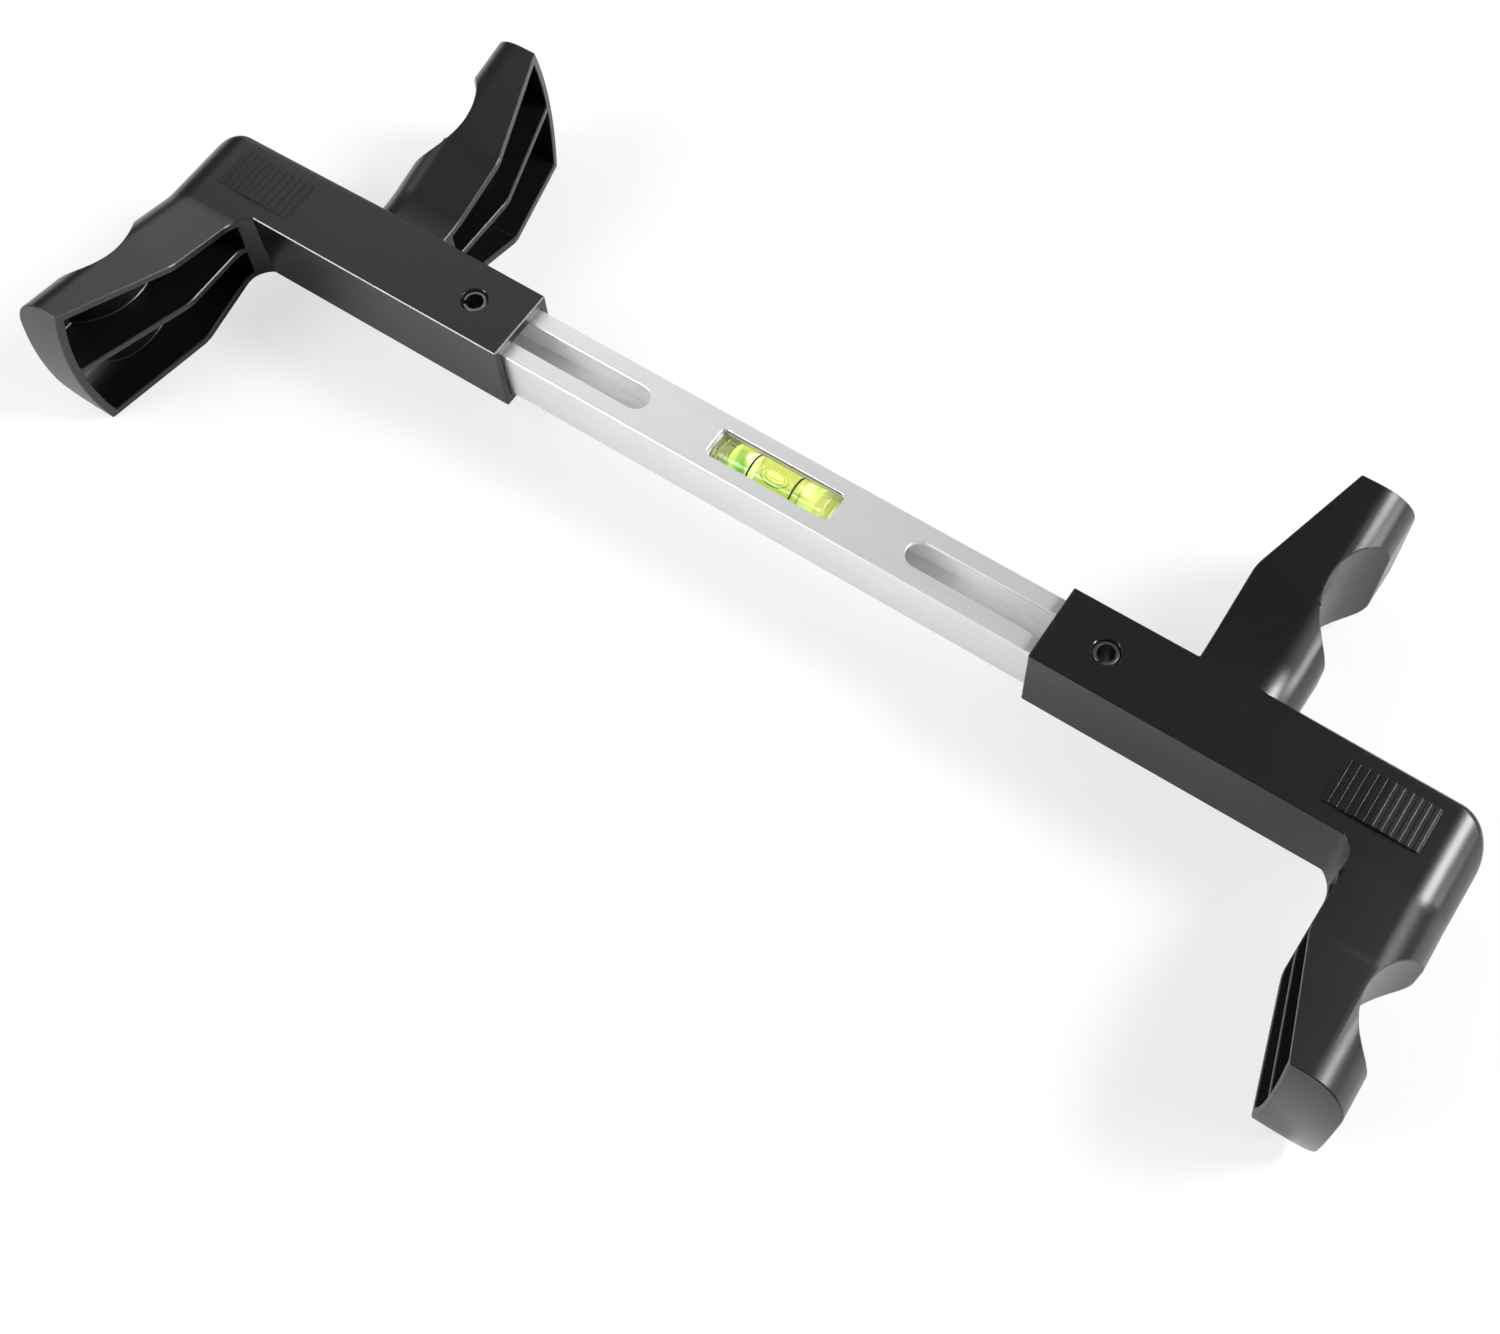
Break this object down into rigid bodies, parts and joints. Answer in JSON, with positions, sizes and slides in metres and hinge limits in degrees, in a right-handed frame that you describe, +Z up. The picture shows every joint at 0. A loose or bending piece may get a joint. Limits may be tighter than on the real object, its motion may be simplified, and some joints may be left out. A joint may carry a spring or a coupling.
{
  "type": "steering wheel level",
  "caption": "Spring-loaded bubble level on a square bar, whose sliding notched arms brace inside a steering wheel's rim to hold or read its angle.",
  "frame": {"origin": "the middle of the bar, which is also the middle of the whole object's box at rest", "axes": "+X along the bar to the right end, +Y from the long-span arms to the short-span arms, +Z up out of the vial's window"},
  "size_m": [0.4492, 0.1674, 0.055],
  "materials": {
    "bar_aluminium": "satin anodised",
    "moulded_black": "fine-grained black moulding",
    "pin_steel": "blackened spring steel",
    "spring_steel": "drawn wire",
    "plug_plastic": "moulded",
    "vial_acrylic": "polished clear acrylic",
    "ring_black": "painted line",
    "vial_liquid": "clear yellow-green liquid",
    "vial_bubble": "air",
    "cradle_plastic": "moulded"
  },
  "bodies": {
    "bar": {"bar": "bar_aluminium", "left_spring": "spring_steel", "right_spring": "spring_steel", "left_bar_plug": "plug_plastic", "right_bar_plug": "plug_plastic", "vial_tube": "vial_acrylic", "vial_end_cap_left": "vial_acrylic", "vial_end_cap_right": "vial_acrylic", "vial_ring_left": "ring_black", "vial_ring_right": "ring_black", "vial_liquid": "vial_liquid", "vial_cradle": "cradle_plastic"},
    "left_bracket": {"left_bracket": "moulded_black", "left_pin": "pin_steel"},
    "right_bracket": {"right_bracket": "moulded_black", "right_pin": "pin_steel"},
    "bubble": {"vial_bubble": "vial_bubble"}
  },
  "joints": [
    {"name": "left_bracket_slide", "type": "slide", "parent": "bar", "child": "left_bracket", "axis": [1, 0, 0], "range_m": [0, 0.0605], "stiffness_N_per_m": 300, "springref_m": -0.02, "deforming": ["left_spring"]},
    {"name": "right_bracket_slide", "type": "slide", "parent": "bar", "child": "right_bracket", "axis": [-1, 0, 0], "range_m": [0, 0.0605], "stiffness_N_per_m": 300, "springref_m": -0.02, "deforming": ["right_spring"]},
    {"name": "bubble_slide", "type": "slide", "parent": "bar", "child": "bubble", "axis": [1, 0, 0], "range_m": [-0.008, 0.008], "stiffness_N_per_m": 0.5}
  ]
}
